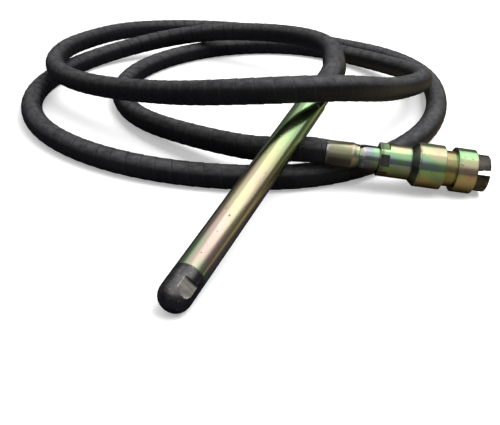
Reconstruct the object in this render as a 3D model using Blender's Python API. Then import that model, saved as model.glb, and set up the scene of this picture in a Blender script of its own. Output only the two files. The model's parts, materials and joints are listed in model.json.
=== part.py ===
"""Flexible-shaft concrete vibrator: poker head, coiled drive hose and motor coupling.

Metres, +Z up, floor at z = 0. Each rigid end is built along the local +Z of an empty: heights in
the head are measured from the poker's tip, and heights in the coupling from its hose end.
"""

from math import acos, cos, pi, radians, sin

import bmesh
import bpy
import numpy as np
from mathutils import Euler, Matrix, Vector

GAP = 0.0003
BALL_GAP = 0.0006
EDGE = 0.0008
FINE = 36
COARSE = 20

# Poker head.
HEAD_RADIUS = 0.0200
HEAD_BORE = 0.0153
NOSE_LENGTH = 0.0490
NOSE_DOME = 0.021
DOME_POWER = 2.35
DOME_RINGS = 7
SPIGOT_RADIUS = 0.015
SPIGOT_LENGTH = 0.018
HEAD_TUBE_END = 0.389
CONNECTOR_END = 0.4085
HEAD_LENGTH = 0.429
NOSE_FLAT_DEPTH = 0.0026
NOSE_FLAT = (0.0125, 0.0342)
NOSE_FLAT_ANGLE = radians(-41)
CONNECTOR_FLAT_DEPTH = 0.0018
HEAD_TIP = Vector((-0.20684, -0.18899, 0.01585))
HEAD_YAW = radians(26.725)
HEAD_TILT = radians(13.450)

# Eccentric rotor inside the head.
SHAFT_RADIUS = 0.0047
MASS_RADIUS = 0.0135
MASS_START = 0.094
MASS_END = 0.341
MASS_CHEEK = 0.006
FRONT_BEARING_START = 0.080
REAR_BEARING_START = 0.347
ROTOR_START = 0.0775
ROTOR_END = 0.3685
SOCKET_RADIUS = 0.0078
SOCKET_LENGTH = 0.016

# Motor coupling.
FERRULE_RADIUS = 0.0186
FERRULE_NECK = 0.0170
FERRULE_END = 0.047
STEM_RADIUS = 0.0174
STEM_COLLAR = 0.0200
NUT_START = 0.0757
NUT_END = 0.1200
NUT_RADIUS = 0.024
NUT_FLAT_DEPTH = 0.0017
NUT_FLAT_LENGTH = 0.013
NUT_FLAT_ANGLE = radians(-21)
SPIGOT_START = 0.0925
BODY_RADIUS = 0.0315
SLEEVE_START = 0.1304
SLEEVE_END = 0.1664
GROOVE_RADIUS = 0.0254
FLANGE_START = 0.1834
FLANGE_END = 0.2104
DOG_RADIUS = 0.026
DOG_HUB_START = 0.2019
DOG_HUB_END = 0.2124
DOG_END = 0.2296
DOG_SLOT = 0.007
DOG_SLOT_ANGLE = radians(-27)
SPINDLE_RADIUS = 0.0082
SPINDLE_SOCKET_START = 0.0970
FIRST_BEARING_START = 0.1345
SECOND_BEARING_START = 0.1844
COUPLING_START = Vector((-0.01216, 0.11588, 0.05690))
COUPLING_YAW = radians(93.587)
COUPLING_TILT = radians(-6.967)

# Flexible core: round rod with a square tip at each end, in a round bore.
CORE_RADIUS = 0.006
CORE_BORE = 0.0082
SQUARE_TIP = 0.0078
SQUARE_HOLE = 0.0084
TIP_LENGTH = 0.0135

# Ball bearings: bore radius, outer radius, width, ball radius, number of balls.
HEAD_BEARING = (0.0050, 0.0150, 0.009, 0.0024, 7)
COUPLING_BEARING = (0.0085, 0.0200, 0.012, 0.0029, 8)

# Hose centre line. It is straight for HOSE_STRAIGHT at each end.
HOSE_RADIUS = 0.0184
FLOOR_LINE = HOSE_RADIUS + 0.0002
HOSE_STRAIGHT = 0.012
HOSE_SAMPLES = 78
HOSE_ROUTE = (
    (0.0010, 0.2224, 0.1277),
    (0.0177, 0.3103, 0.1234),
    (0.0243, 0.4574, 0.1061),
    (-0.0168, 0.5799, 0.0913),
    (-0.0970, 0.6662, 0.0766),
    (-0.2069, 0.7213, 0.0608),
    (-0.3341, 0.7359, 0.0368),
    (-0.4414, 0.6774, 0.0216),
    (-0.5034, 0.5716, FLOOR_LINE),
    (-0.5193, 0.4449, FLOOR_LINE),
    (-0.4725, 0.3034, FLOOR_LINE),
    (-0.3857, 0.2077, FLOOR_LINE),
    (-0.2731, 0.1429, FLOOR_LINE),
    (-0.1435, 0.1120, FLOOR_LINE),
    (-0.0129, 0.1230, FLOOR_LINE),
    (0.0998, 0.1907, FLOOR_LINE),
    (0.1805, 0.2974, FLOOR_LINE),
    (0.2254, 0.4320, FLOOR_LINE),
    (0.2244, 0.5825, FLOOR_LINE),
    (0.1666, 0.6922, FLOOR_LINE),
    (0.0719, 0.7689, FLOOR_LINE),
    (-0.0358, 0.8477, FLOOR_LINE),
    (-0.1564, 0.9015, FLOOR_LINE),
    (-0.2879, 0.9096, 0.0216),
    (-0.3988, 0.8346, 0.0357),
    (-0.4624, 0.7110, 0.0509),
    (-0.4926, 0.6170, 0.0574),
    (-0.4904, 0.5076, 0.0595),
    (-0.4367, 0.4096, 0.0639),
    (-0.3631, 0.3390, 0.0736),
    (-0.2874, 0.2674, 0.0920),
    (-0.2210, 0.2001, 0.1136),
    (-0.1505, 0.1392, 0.1369),
    (-0.0780, 0.1133, 0.1491),
    (-0.0074, 0.1287, 0.1461),
    (0.0576, 0.1843, 0.1250),
    (0.1231, 0.2899, 0.0888),
    (0.1868, 0.4019, 0.0628),
    (0.1959, 0.4914, 0.0455),
    (0.1609, 0.5841, 0.0325),
    (0.1056, 0.6722, 0.0227),
    (0.0080, 0.7510, FLOOR_LINE),
    (-0.1205, 0.7659, FLOOR_LINE),
    (-0.2412, 0.7181, FLOOR_LINE),
    (-0.3259, 0.6264, FLOOR_LINE),
    (-0.3618, 0.4988, FLOOR_LINE),
    (-0.3199, 0.3551, 0.0195),
    (-0.2320, 0.2516, 0.0292),
    (-0.1533, 0.1820, 0.0400),
    (-0.0898, 0.1351, 0.0523),
)


def clear_scene():
    for item in list(bpy.data.objects):
        bpy.data.objects.remove(item)


def make_material(name, colour, roughness, metallic):
    material = bpy.data.materials.new(name)
    material.use_nodes = True
    shader = material.node_tree.nodes["Principled BSDF"]
    shader.inputs["Base Color"].default_value = (*colour, 1.0)
    shader.inputs["Roughness"].default_value = roughness
    shader.inputs["Metallic"].default_value = metallic
    return material


def make_frame(name, start, yaw, tilt):
    """Empty whose local +Z points along a rigid end, and whose local -Y points up."""
    frame = bpy.data.objects.new(name, None)
    frame.location = start
    frame.rotation_euler = Euler((tilt - pi / 2, 0.0, -yaw))
    bpy.context.scene.collection.objects.link(frame)
    return frame


def axis_of(yaw, tilt):
    return Vector((sin(yaw) * cos(tilt), cos(yaw) * cos(tilt), sin(tilt)))


def finish(name, bm, material, frame, height=0.0):
    """Store a mesh as one smooth-shaded object of a frame, with its origin on the frame's axis."""
    bmesh.ops.recalc_face_normals(bm, faces=bm.faces)
    mesh = bpy.data.meshes.new(name)
    bm.to_mesh(mesh)
    bm.free()
    mesh.materials.append(material)
    mesh.shade_smooth()
    mesh.set_sharp_from_angle(angle=radians(32))
    item = bpy.data.objects.new(name, mesh)
    item.location = (0.0, 0.0, height)
    item.parent = frame
    bpy.context.scene.collection.objects.link(item)
    return item


def turned(name, outline, material, frame, steps=FINE):
    """Spin an outline of (radius, height) points about the frame's axis."""
    base = min(height for _, height in outline)
    bm = bmesh.new()
    points = [bm.verts.new((radius, 0.0, height - base)) for radius, height in outline]
    sides = zip(points, points[1:] + points[:1])
    edges = [bm.edges.new(pair) for pair in sides if pair[0].co.x + pair[1].co.x > 0.0]
    bmesh.ops.spin(bm, geom=points + edges, axis=(0, 0, 1), cent=(0, 0, 0),
                   angle=2 * pi, steps=steps, use_merge=True)
    bmesh.ops.remove_doubles(bm, verts=bm.verts, dist=1e-6)
    return finish(name, bm, material, frame, base)


def tube(name, inner, outer, start, end, material, frame, steps=FINE, edge=0.0):
    """Plain ring with chamfered outer edges."""
    outline = [(inner, start), (outer - edge, start), (outer, start + edge),
               (outer, end - edge), (outer - edge, end), (inner, end)]
    if edge == 0.0:
        outline = [(inner, start), (outer, start), (outer, end), (inner, end)]
    return turned(name, outline, material, frame, steps)


def box_cutter(name, size, centre, angle, frame):
    """Hidden box turned by an angle about the frame's axis."""
    bm = bmesh.new()
    bmesh.ops.create_cube(bm, size=1.0)
    bmesh.ops.scale(bm, vec=size, verts=bm.verts)
    bmesh.ops.translate(bm, vec=centre, verts=bm.verts)
    bmesh.ops.rotate(bm, cent=(0, 0, 0), matrix=Matrix.Rotation(angle, 3, "Z"), verts=bm.verts)
    mesh = bpy.data.meshes.new(name)
    bm.to_mesh(mesh)
    bm.free()
    cutter = bpy.data.objects.new(name, mesh)
    cutter.parent = frame
    cutter.hide_render = True
    cutter.display_type = "WIRE"
    bpy.context.scene.collection.objects.link(cutter)
    return cutter


def apply_boolean(item, tool, operation="DIFFERENCE"):
    modifier = item.modifiers.new(tool.name, "BOOLEAN")
    modifier.operation = operation
    modifier.solver = "EXACT"
    modifier.object = tool


def cut_flats(item, radius, depth, start, end, angles, frame):
    """Mill one flat of a given depth at each angle of a round piece."""
    for number, angle in enumerate(angles):
        centre = (radius - depth + radius / 2, 0.0, (start + end) / 2)
        size = (radius, 3 * radius, end - start)
        cutter = box_cutter(f"{item.name}_flat_{number}", size, centre, angle, frame)
        apply_boolean(item, cutter)


def cut_square_hole(item, width, start, end, frame):
    centre = (0.0, 0.0, (start + end) / 2)
    cutter = box_cutter(f"{item.name}_square", (width, width, end - start), centre, 0.0, frame)
    apply_boolean(item, cutter)


def race_groove(middle, ball, width, start, side):
    """Points of a ball groove, from low to high, on the side +1 (outer race) or -1 (inner)."""
    reach = ball + BALL_GAP
    limit = acos(0.55 * ball / reach)
    angles = np.linspace(-limit, limit, 5)
    return [(middle + side * reach * cos(a), start + width / 2 + reach * sin(a)) for a in angles]


def ball_bearing(prefix, spec, start, frame, steel):
    """Outer race, inner race and caged balls, each a piece of its own."""
    bore, outer, width, ball, count = spec
    middle = (bore + outer) / 2
    end = start + width
    outer_land = middle + 0.55 * ball
    inner_land = middle - 0.55 * ball
    outer_groove = race_groove(middle, ball, width, start, 1)
    inner_groove = race_groove(middle, ball, width, start, -1)
    turned(f"{prefix}_outer_race",
           [(outer, start), (outer, end), (outer_land, end), *reversed(outer_groove),
            (outer_land, start)], steel, frame, COARSE)
    turned(f"{prefix}_inner_race",
           [(bore, start), (inner_land, start), *inner_groove, (inner_land, end), (bore, end)],
           steel, frame, COARSE)
    cage = tube(f"{prefix}_caged_balls", middle - 0.3 * ball, middle + 0.3 * ball,
                start + width / 2 - 1.15 * ball, start + width / 2 + 1.15 * ball,
                steel, frame, COARSE)
    bm = bmesh.new()
    for number in range(count):
        angle = 2 * pi * number / count
        place = Vector((middle * cos(angle), middle * sin(angle), start + width / 2))
        bmesh.ops.create_uvsphere(bm, u_segments=8, v_segments=6, radius=ball,
                                  matrix=Matrix.Translation(place))
    mesh = bpy.data.meshes.new(f"{prefix}_balls")
    bm.to_mesh(mesh)
    bm.free()
    balls = bpy.data.objects.new(f"{prefix}_balls", mesh)
    balls.parent = frame
    balls.hide_render = True
    balls.display_type = "WIRE"
    bpy.context.scene.collection.objects.link(balls)
    apply_boolean(cage, balls, "UNION")


def dome_outline():
    """Blunt nose from the tip to the full radius."""
    points = []
    for step in range(DOME_RINGS):
        angle = pi / 2 * step / (DOME_RINGS - 1)
        radius = HEAD_RADIUS * sin(angle) ** (2 / DOME_POWER)
        height = NOSE_DOME * (1 - max(cos(angle), 0.0) ** (2 / DOME_POWER))
        points.append((radius, height))
    return points


def sealed_spigot(inner, face, direction):
    """Spigot outline with a seal groove, from the shoulder face to its end."""
    seal_inner = SPIGOT_RADIUS - 0.0018
    steps = ((SPIGOT_RADIUS, 0.0), (SPIGOT_RADIUS, 0.0040), (seal_inner, 0.0040),
             (seal_inner, 0.0068), (SPIGOT_RADIUS, 0.0068), (SPIGOT_RADIUS, SPIGOT_LENGTH - 0.001),
             (SPIGOT_RADIUS - 0.001, SPIGOT_LENGTH), (inner, SPIGOT_LENGTH))
    return [(radius, face + direction * height) for radius, height in steps]


def seal_ring(name, centre_radius, section, height, rubber, frame):
    angles = [pi / 3 * step for step in range(6)]
    outline = [(centre_radius + section * cos(a), height + section * sin(a)) for a in angles]
    turned(name, outline, rubber, frame, COARSE)


def core_end(name, start, end, tip_start, frame, steel):
    """Round core rod whose far end is squared over TIP_LENGTH from tip_start."""
    rod = turned(name, [(0.0, start), (CORE_RADIUS, start), (CORE_RADIUS, end), (0.0, end)],
                 steel, frame, COARSE)
    depth = CORE_RADIUS - SQUARE_TIP / 2
    quarters = [pi / 2 * number for number in range(4)]
    cut_flats(rod, CORE_RADIUS, depth, tip_start, tip_start + TIP_LENGTH, quarters, frame)


def build_head_shell(frame, plated, dark, rubber, bright):
    """Nose, tube, connector, ferrule and seals, which hold still."""
    nose_bore = 0.009
    spigot = sealed_spigot(nose_bore, NOSE_LENGTH, 1)
    nose = turned("nose_cap", [*dome_outline(), (HEAD_RADIUS, NOSE_LENGTH - EDGE),
                               (HEAD_RADIUS - EDGE, NOSE_LENGTH), *spigot,
                               (nose_bore, NOSE_LENGTH), (0.0, NOSE_LENGTH)], dark, frame)
    opposite = [NOSE_FLAT_ANGLE, NOSE_FLAT_ANGLE + pi]
    cut_flats(nose, HEAD_RADIUS, NOSE_FLAT_DEPTH, *NOSE_FLAT, opposite, frame)
    seal_ring("nose_seal", 0.01425, 0.0007, NOSE_LENGTH + 0.0054, rubber, frame)
    tube("head_tube", HEAD_BORE, HEAD_RADIUS, NOSE_LENGTH + GAP, HEAD_TUBE_END,
         plated, frame, edge=0.0006)
    face = HEAD_TUBE_END + GAP
    spigot = sealed_spigot(CORE_BORE, face, -1)
    connector = turned("head_connector",
                       [*reversed(spigot), (HEAD_RADIUS - EDGE, face),
                        (HEAD_RADIUS, face + EDGE), (HEAD_RADIUS, CONNECTOR_END - EDGE),
                        (HEAD_RADIUS - EDGE, CONNECTOR_END), (CORE_BORE, CONNECTOR_END)],
                       plated, frame)
    cut_flats(connector, HEAD_RADIUS, CONNECTOR_FLAT_DEPTH, face + 0.004, CONNECTOR_END + 0.001,
              opposite, frame)
    seal_ring("connector_seal", 0.01425, 0.0007, face - 0.0054, rubber, frame)
    start = CONNECTOR_END + GAP
    turned("head_ferrule",
           [(CORE_BORE, start), (FERRULE_NECK, start), (FERRULE_NECK, start + 0.003),
            (FERRULE_RADIUS, start + 0.005), (FERRULE_RADIUS, HEAD_LENGTH - 0.001),
            (FERRULE_RADIUS - 0.001, HEAD_LENGTH), (CORE_BORE, HEAD_LENGTH)], plated, frame)
    tube("front_spacer", 0.0125, SPIGOT_RADIUS, NOSE_LENGTH + SPIGOT_LENGTH + GAP,
         FRONT_BEARING_START - GAP, bright, frame, COARSE)
    clip = FRONT_BEARING_START + HEAD_BEARING[2] + GAP
    tube("front_retaining_ring", 0.0125, SPIGOT_RADIUS, clip, clip + 0.0015, bright, frame, COARSE)
    clip = REAR_BEARING_START - GAP
    tube("rear_retaining_ring", 0.0125, SPIGOT_RADIUS, clip - 0.0015, clip, bright, frame, COARSE)
    start = REAR_BEARING_START + HEAD_BEARING[2] + 0.001
    turned("head_oil_seal",
           [(0.0053, start), (0.0148, start), (SPIGOT_RADIUS, start + 0.0002),
            (SPIGOT_RADIUS, start + 0.006), (0.0125, start + 0.006), (0.0115, start + 0.002),
            (0.0065, start + 0.002), (0.0053, start + 0.005)], rubber, frame, COARSE)


def build_head_rotor(frame, dark, bright):
    """Eccentric rotor, its drive socket and the core's head end, which spin in the bearings."""
    shoulder = 0.0065
    front_stop = FRONT_BEARING_START + HEAD_BEARING[2] + GAP
    rear_stop = REAR_BEARING_START - GAP
    rotor = turned("eccentric_rotor",
                   [(0.0, ROTOR_START), (SHAFT_RADIUS, ROTOR_START), (SHAFT_RADIUS, front_stop),
                    (shoulder, front_stop), (shoulder, MASS_START), (MASS_RADIUS, MASS_START),
                    (MASS_RADIUS, MASS_END), (shoulder, MASS_END), (shoulder, rear_stop),
                    (SHAFT_RADIUS, rear_stop), (SHAFT_RADIUS, ROTOR_END), (0.0, ROTOR_END)],
                   dark, frame)
    cut_flats(rotor, MASS_RADIUS, MASS_RADIUS - 0.001, MASS_START + MASS_CHEEK,
              MASS_END - MASS_CHEEK, [NOSE_FLAT_ANGLE], frame)
    start = ROTOR_END + GAP
    socket = turned("rotor_socket",
                    [(0.0, start), (SOCKET_RADIUS, start), (SOCKET_RADIUS, start + SOCKET_LENGTH),
                     (0.0, start + SOCKET_LENGTH)], bright, frame, COARSE)
    cut_square_hole(socket, SQUARE_HOLE, start + 0.004, start + SOCKET_LENGTH + 0.001, frame)
    core_end("core_head_end", start + 0.006, HEAD_LENGTH, start + 0.0055, frame, bright)


def build_coupling_shell(frame, plated, rubber, bright):
    """Ferrule, stem, nut and body of the motor coupling, which hold still."""
    turned("coupling_ferrule",
           [(CORE_BORE, 0.0), (FERRULE_RADIUS - 0.001, 0.0), (FERRULE_RADIUS, 0.0015),
            (FERRULE_RADIUS, FERRULE_END - 0.007), (FERRULE_NECK, FERRULE_END - 0.003),
            (FERRULE_NECK, FERRULE_END), (CORE_BORE, FERRULE_END)], plated, frame)
    collar_start = NUT_START + 0.0057
    collar_end = collar_start + 0.009
    turned("coupling_stem",
           [(CORE_BORE, FERRULE_END + GAP), (STEM_RADIUS - EDGE, FERRULE_END + GAP),
            (STEM_RADIUS, FERRULE_END + GAP + EDGE), (STEM_RADIUS, collar_start),
            (STEM_COLLAR, collar_start), (STEM_COLLAR, collar_end), (CORE_BORE, collar_end)],
           plated, frame)
    nut_bore = STEM_COLLAR + 0.0005
    nut = turned("coupling_nut",
                 [(STEM_RADIUS + 0.0004, NUT_START), (NUT_RADIUS - EDGE, NUT_START),
                  (NUT_RADIUS, NUT_START + EDGE), (NUT_RADIUS, NUT_END - EDGE),
                  (NUT_RADIUS - EDGE, NUT_END), (nut_bore, NUT_END),
                  (nut_bore, collar_start - GAP), (STEM_RADIUS + 0.0004, collar_start - GAP)],
                 plated, frame)
    sixths = [NUT_FLAT_ANGLE + pi / 3 * number for number in range(6)]
    cut_flats(nut, NUT_RADIUS, NUT_FLAT_DEPTH, NUT_START - 0.001, NUT_START + NUT_FLAT_LENGTH,
              sixths, frame)
    seal_ring("stem_seal", 0.017, 0.0011, (collar_end + SPIGOT_START) / 2, rubber, frame)
    bore = COUPLING_BEARING[1] + GAP
    recess = DOG_RADIUS + 0.001
    recess_start = DOG_HUB_START - 0.001
    cone_start = NUT_END + GAP
    turned("coupling_body",
           [(0.012, SPIGOT_START), (STEM_COLLAR, SPIGOT_START), (STEM_COLLAR, cone_start),
            (NUT_RADIUS - EDGE, cone_start), (BODY_RADIUS - EDGE, SLEEVE_START - 0.002),
            (BODY_RADIUS, SLEEVE_START), (BODY_RADIUS, SLEEVE_END - EDGE),
            (BODY_RADIUS - EDGE, SLEEVE_END), (GROOVE_RADIUS, SLEEVE_END),
            (GROOVE_RADIUS, FLANGE_START), (BODY_RADIUS - EDGE, FLANGE_START),
            (BODY_RADIUS, FLANGE_START + EDGE), (BODY_RADIUS, FLANGE_END - EDGE),
            (BODY_RADIUS - EDGE, FLANGE_END), (recess, FLANGE_END), (recess, recess_start),
            (bore, recess_start), (bore, FIRST_BEARING_START - 0.0005),
            (0.012, FIRST_BEARING_START - 0.0005)], plated, frame)
    first_end = FIRST_BEARING_START + COUPLING_BEARING[2]
    second_end = SECOND_BEARING_START + COUPLING_BEARING[2]
    tube("coupling_spacer", 0.0178, COUPLING_BEARING[1], first_end + GAP,
         SECOND_BEARING_START - GAP, bright, frame, COARSE)
    tube("coupling_retaining_ring", 0.0170, COUPLING_BEARING[1], second_end + GAP,
         second_end + 0.0015, bright, frame, COARSE)
    tube("coupling_dust_seal", SPINDLE_RADIUS + GAP, COUPLING_BEARING[1], second_end + 0.0018,
         second_end + 0.0042, rubber, frame, COARSE)


def build_coupling_drive(frame, worn, bright):
    """Spindle, drive dog, screw and the core's drive end, which turn together."""
    collar = 0.0110
    collar_end = FIRST_BEARING_START - GAP
    spindle_end = DOG_HUB_END - 0.0005
    spindle = turned("drive_spindle",
                     [(0.0, SPINDLE_SOCKET_START), (collar, SPINDLE_SOCKET_START),
                      (collar, collar_end), (SPINDLE_RADIUS, collar_end),
                      (SPINDLE_RADIUS, spindle_end), (0.0, spindle_end)], bright, frame, COARSE)
    cut_square_hole(spindle, SQUARE_HOLE, SPINDLE_SOCKET_START - 0.001,
                    SPINDLE_SOCKET_START + 0.014, frame)
    hub_bore = SPINDLE_RADIUS + GAP
    dog = turned("drive_dog",
                 [(hub_bore, DOG_HUB_START), (DOG_RADIUS - EDGE, DOG_HUB_START),
                  (DOG_RADIUS, DOG_HUB_START + EDGE), (DOG_RADIUS, DOG_END - 0.0015),
                  (DOG_RADIUS - 0.0015, DOG_END), (hub_bore, DOG_END)], worn, frame)
    reach = 3 * DOG_RADIUS
    slot = box_cutter("drive_dog_slot", (reach, DOG_SLOT, DOG_END - DOG_HUB_END + 0.002),
                      (0.0, 0.0, (DOG_HUB_END + DOG_END + 0.002) / 2), DOG_SLOT_ANGLE, frame)
    apply_boolean(dog, slot)
    head = 0.0032
    top = spindle_end + 0.0038
    turned("dog_screw",
           [(0.0, spindle_end + GAP), (head, spindle_end + GAP), (head, top - 0.0006),
            (head - 0.0006, top), (0.0, top)], bright, frame, COARSE)
    core_end("core_drive_end", 0.0, SPINDLE_SOCKET_START + 0.012,
             SPINDLE_SOCKET_START - 0.0010, frame, bright)


def smooth_curve(points, start_way, end_way, count):
    """Evenly spread points on the cubic spline through the given ones, with set end directions."""
    points = np.array(points)
    spans = np.linalg.norm(np.diff(points, axis=0), axis=1)
    knots = np.concatenate(([0.0], np.cumsum(spans)))
    slopes = np.diff(points, axis=0) / spans[:, None]
    size = len(points)
    matrix = np.zeros((size, size))
    right = np.zeros((size, 3))
    matrix[0, :2] = 2 * spans[0], spans[0]
    right[0] = 6 * (slopes[0] - np.array(start_way))
    matrix[-1, -2:] = spans[-1], 2 * spans[-1]
    right[-1] = 6 * (np.array(end_way) - slopes[-1])
    for row in range(1, size - 1):
        matrix[row, row - 1:row + 2] = spans[row - 1], 2 * (spans[row - 1] + spans[row]), spans[row]
        right[row] = 6 * (slopes[row] - slopes[row - 1])
    bends = np.linalg.solve(matrix, right)
    result = []
    for distance in np.linspace(0.0, knots[-1], count):
        span = min(np.searchsorted(knots, distance, side="right") - 1, size - 2)
        before = distance - knots[span]
        after = knots[span + 1] - distance
        width = spans[span]
        curved = (bends[span] * after ** 3 + bends[span + 1] * before ** 3) / (6 * width)
        start = (points[span] / width - bends[span] * width / 6) * after
        end = (points[span + 1] / width - bends[span + 1] * width / 6) * before
        result.append(curved + start + end)
    return result


def build_hose(rubber):
    """Plain tube from the head's ferrule to the coupling's ferrule."""
    head_way = axis_of(HEAD_YAW, HEAD_TILT)
    coupling_way = axis_of(COUPLING_YAW, COUPLING_TILT)
    first = HEAD_TIP + head_way * (HEAD_LENGTH + GAP)
    last = COUPLING_START - coupling_way * GAP
    leave = first + head_way * HOSE_STRAIGHT
    arrive = last - coupling_way * HOSE_STRAIGHT
    curve = smooth_curve([leave, *HOSE_ROUTE, arrive], head_way, coupling_way, HOSE_SAMPLES)
    points = [first, *curve, last]
    for point in points:
        point[2] = max(point[2], FLOOR_LINE)
    data = bpy.data.curves.new("hose", "CURVE")
    data.dimensions = "3D"
    data.bevel_depth = HOSE_RADIUS
    data.bevel_resolution = 3
    data.use_fill_caps = True
    spline = data.splines.new("POLY")
    spline.points.add(len(points) - 1)
    for point, place in zip(spline.points, points):
        point.co = (*place, 1.0)
    data.materials.append(rubber)
    item = bpy.data.objects.new("hose", data)
    bpy.context.scene.collection.objects.link(item)


def main():
    clear_scene()
    plated = make_material("yellow_zinc_plate", (0.62, 0.60, 0.42), 0.28, 1.0)
    dark = make_material("dark_steel", (0.12, 0.105, 0.09), 0.42, 1.0)
    worn = make_material("worn_steel", (0.16, 0.13, 0.11), 0.5, 1.0)
    bright = make_material("bright_steel", (0.60, 0.60, 0.60), 0.25, 1.0)
    rubber = make_material("black_rubber", (0.018, 0.018, 0.020), 0.6, 0.0)
    head = make_frame("head_frame", HEAD_TIP, HEAD_YAW, HEAD_TILT)
    coupling = make_frame("coupling_frame", COUPLING_START, COUPLING_YAW, COUPLING_TILT)
    build_head_shell(head, plated, dark, rubber, bright)
    build_head_rotor(head, dark, bright)
    ball_bearing("front_bearing", HEAD_BEARING, FRONT_BEARING_START, head, bright)
    ball_bearing("rear_bearing", HEAD_BEARING, REAR_BEARING_START, head, bright)
    build_hose(rubber)
    build_coupling_shell(coupling, plated, rubber, bright)
    build_coupling_drive(coupling, worn, bright)
    ball_bearing("first_coupling_bearing", COUPLING_BEARING, FIRST_BEARING_START, coupling, bright)
    ball_bearing("second_coupling_bearing", COUPLING_BEARING, SECOND_BEARING_START, coupling,
                 bright)


main()
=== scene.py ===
"""Looks of the flexible-shaft concrete vibrator: poker head, coiled drive hose, motor coupling.

Metres, +Z up, floor at z = 0. Each rigid end has a local frame whose Z runs along its axis, from
the poker's tip or from the coupling's hose end, and whose -Y points up.
"""
import json
from math import cos, pi, radians, sin

import bpy
import numpy as np
from mathutils import Matrix, Vector


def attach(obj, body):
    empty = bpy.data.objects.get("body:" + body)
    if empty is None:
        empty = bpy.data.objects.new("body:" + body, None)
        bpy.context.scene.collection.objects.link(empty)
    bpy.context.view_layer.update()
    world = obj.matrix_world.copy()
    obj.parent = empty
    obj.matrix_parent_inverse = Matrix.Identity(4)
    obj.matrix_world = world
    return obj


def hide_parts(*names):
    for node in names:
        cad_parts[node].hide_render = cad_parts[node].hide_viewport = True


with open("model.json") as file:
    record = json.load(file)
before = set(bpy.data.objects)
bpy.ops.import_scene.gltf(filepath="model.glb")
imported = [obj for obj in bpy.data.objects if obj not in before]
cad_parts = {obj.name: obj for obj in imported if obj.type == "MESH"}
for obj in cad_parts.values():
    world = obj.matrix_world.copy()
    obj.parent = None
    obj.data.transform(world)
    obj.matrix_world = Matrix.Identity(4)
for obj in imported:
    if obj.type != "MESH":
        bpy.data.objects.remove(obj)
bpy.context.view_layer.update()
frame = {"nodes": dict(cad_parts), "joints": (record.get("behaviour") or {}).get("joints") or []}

UP = Vector((0.0, 0.0, 1.0))

# Clearance between the CAD model's solids.
GAP = 0.0003

# Turned pieces: faces round each, how corners and sides are divided, and how deep a cut is when it
# counts as milled in full and as milled at all.
AROUND = 192
SMALL_AROUND = 96
FILLET_POINTS = 6
FILLET_SHARE = 0.45
SHORT_SIDE = 0.0018
SIDE_MARGIN = 0.0005
CUT_FADE = 0.0003
CUT_SEEN = 0.05

# Hose: the centre line repeats the CAD model's route. One lap of the wrap is LAP_PITCH long, and
# LAP_EDGE of it is the step down to the next lap. The waves are (size, rate, start) along it.
HOSE_RADIUS = 0.0184
FLOOR_LINE = HOSE_RADIUS + 0.0002
HOSE_STRAIGHT = 0.012
HOSE_STEP = 0.0014
HOSE_AROUND = 40
LAP_PITCH = 0.0250
LAP_HEIGHT = 0.0006
LAP_EDGE = 0.075
SEAM_DEPTH = 0.0006
LAP_DRIFT = ((0.0016, 23.0, 0.0), (0.0012, 71.0, 1.0))
SEAM_MEAN = 0.55
SEAM_WAVES = ((0.30, 4.1, 2.4), (0.15, 13.0, 0.0))
HOSE_END_FADE = 0.004
CURVE_POINTS = 12000
HOSE_ROUTE = (
    (0.0010, 0.2224, 0.1277),
    (0.0177, 0.3103, 0.1234),
    (0.0243, 0.4574, 0.1061),
    (-0.0168, 0.5799, 0.0913),
    (-0.0970, 0.6662, 0.0766),
    (-0.2069, 0.7213, 0.0608),
    (-0.3341, 0.7359, 0.0368),
    (-0.4414, 0.6774, 0.0216),
    (-0.5034, 0.5716, FLOOR_LINE),
    (-0.5193, 0.4449, FLOOR_LINE),
    (-0.4725, 0.3034, FLOOR_LINE),
    (-0.3857, 0.2077, FLOOR_LINE),
    (-0.2731, 0.1429, FLOOR_LINE),
    (-0.1435, 0.1120, FLOOR_LINE),
    (-0.0129, 0.1230, FLOOR_LINE),
    (0.0998, 0.1907, FLOOR_LINE),
    (0.1805, 0.2974, FLOOR_LINE),
    (0.2254, 0.4320, FLOOR_LINE),
    (0.2244, 0.5825, FLOOR_LINE),
    (0.1666, 0.6922, FLOOR_LINE),
    (0.0719, 0.7689, FLOOR_LINE),
    (-0.0358, 0.8477, FLOOR_LINE),
    (-0.1564, 0.9015, FLOOR_LINE),
    (-0.2879, 0.9096, 0.0216),
    (-0.3988, 0.8346, 0.0357),
    (-0.4624, 0.7110, 0.0509),
    (-0.4926, 0.6170, 0.0574),
    (-0.4904, 0.5076, 0.0595),
    (-0.4367, 0.4096, 0.0639),
    (-0.3631, 0.3390, 0.0736),
    (-0.2874, 0.2674, 0.0920),
    (-0.2210, 0.2001, 0.1136),
    (-0.1505, 0.1392, 0.1369),
    (-0.0780, 0.1133, 0.1491),
    (-0.0074, 0.1287, 0.1461),
    (0.0576, 0.1843, 0.1250),
    (0.1231, 0.2899, 0.0888),
    (0.1868, 0.4019, 0.0628),
    (0.1959, 0.4914, 0.0455),
    (0.1609, 0.5841, 0.0325),
    (0.1056, 0.6722, 0.0227),
    (0.0080, 0.7510, FLOOR_LINE),
    (-0.1205, 0.7659, FLOOR_LINE),
    (-0.2412, 0.7181, FLOOR_LINE),
    (-0.3259, 0.6264, FLOOR_LINE),
    (-0.3618, 0.4988, FLOOR_LINE),
    (-0.3199, 0.3551, 0.0195),
    (-0.2320, 0.2516, 0.0292),
    (-0.1533, 0.1820, 0.0400),
    (-0.0898, 0.1351, 0.0523),
)

# Both rigid ends: the bore for the core, and the narrow neck of a crimped ferrule.
CORE_BORE = 0.0082
FERRULE_NECK = 0.0170
CRIMP_JAWS = 6
CRIMP_DEPTH = 0.0004
CRIMP_TURN = 0.3
CRIMP_FADE = 0.004
CRIMP_INNER = 0.0150

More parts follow.
